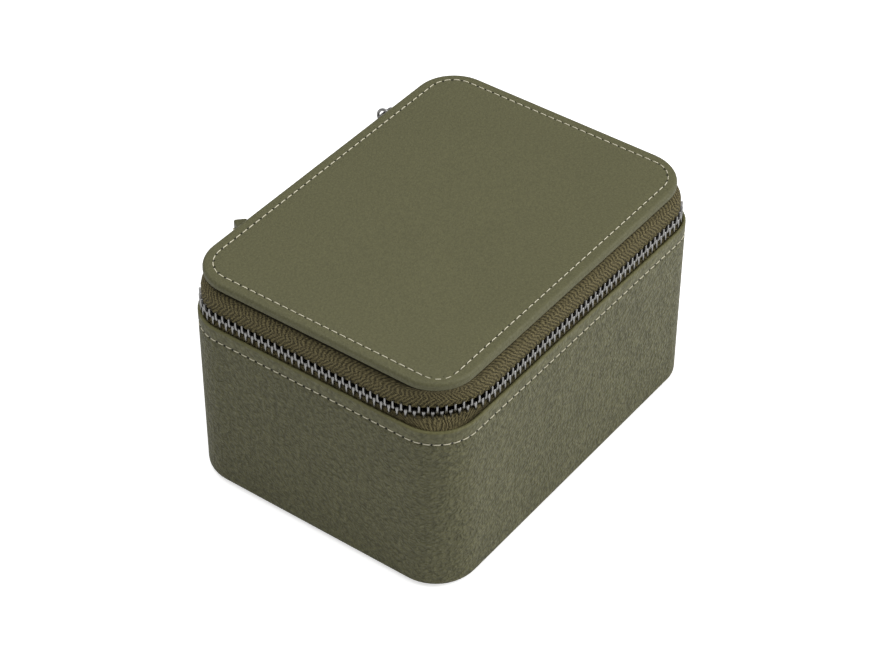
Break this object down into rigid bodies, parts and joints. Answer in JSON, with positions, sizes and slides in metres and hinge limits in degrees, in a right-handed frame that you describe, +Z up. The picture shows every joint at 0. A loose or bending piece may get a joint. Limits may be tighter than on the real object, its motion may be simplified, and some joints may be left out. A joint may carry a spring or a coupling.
{
  "type": "watch travel case",
  "caption": "Zipped leather travel case with a hinged padded lid, a metal zip round the rim and lift-out watch cushions in lined bays.",
  "frame": {"origin": "centre of the underside, on the surface the case stands on", "axes": "+Z up, +X along the long side, +Y towards the hinge at the back"},
  "size_m": [0.1284, 0.1063, 0.0769],
  "materials": {
    "olive_leather": "satin pebbled",
    "grey_board": "matte",
    "suede_lining": "napped",
    "foam": "matte",
    "zip_tape": "twill weave",
    "nickel": "satin",
    "cream_thread": "waxed"
  },
  "bodies": {
    "base": {"base_leather_wrap": "olive_leather", "base_bottom_panel": "olive_leather", "base_bottom_filler": "grey_board", "base_floor_board": "grey_board", "base_wall_board": "grey_board", "base_wall_lining": "suede_lining", "base_floor_pad": "suede_lining", "divider_board": "grey_board", "divider_lining": "suede_lining", "lower_zip_tape": "zip_tape", "lower_zip_teeth": "nickel", "zip_tail_tape_left": "zip_tape", "zip_tail_tape_right": "zip_tape", "zip_tail_teeth": "nickel", "zip_top_stops": "nickel", "zip_bottom_stop": "nickel", "zip_end_tab": "olive_leather", "end_tab_stitches": "cream_thread", "hinge_strip_lower": "olive_leather"},
    "lid": {"lid_leather": "olive_leather", "lid_board": "grey_board", "lid_foam": "foam", "lid_inner_board": "grey_board", "lid_lining": "suede_lining", "upper_zip_tape": "zip_tape", "upper_zip_teeth": "nickel", "hinge_strip_upper": "olive_leather"},
    "slider": {"slider_body": "nickel", "slider_bridge": "nickel"},
    "pull": {"pull_ring": "nickel", "pull_tab": "olive_leather", "pull_eyelet": "nickel"},
    "cushion_left": {"cushion_left_cover": "suede_lining", "cushion_left_core": "foam"},
    "cushion_right": {"cushion_right_cover": "suede_lining", "cushion_right_core": "foam"}
  },
  "joints": [
    {"name": "lid_hinge", "type": "hinge", "parent": "base", "child": "lid", "pos_m": [0, 0.0466, 0.0665], "axis": [-1, 0, 0], "range_deg": [0, 85]},
    {"name": "slider_run", "type": "slide", "parent": "base", "child": "slider", "axis": [1, 0, 0], "range_m": [-0.005, 0.0015]},
    {"name": "pull_swing", "type": "hinge", "parent": "slider", "child": "pull", "pos_m": [0.0431, 0.05465, 0.0641], "axis": [1, 0, 0], "range_deg": [-10, 60]},
    {"name": "cushion_left_lift", "type": "slide", "parent": "base", "child": "cushion_left", "axis": [0, 0, 1], "range_m": [0, 0.012]},
    {"name": "cushion_right_lift", "type": "slide", "parent": "base", "child": "cushion_right", "axis": [0, 0, 1], "range_m": [0, 0.012]}
  ]
}
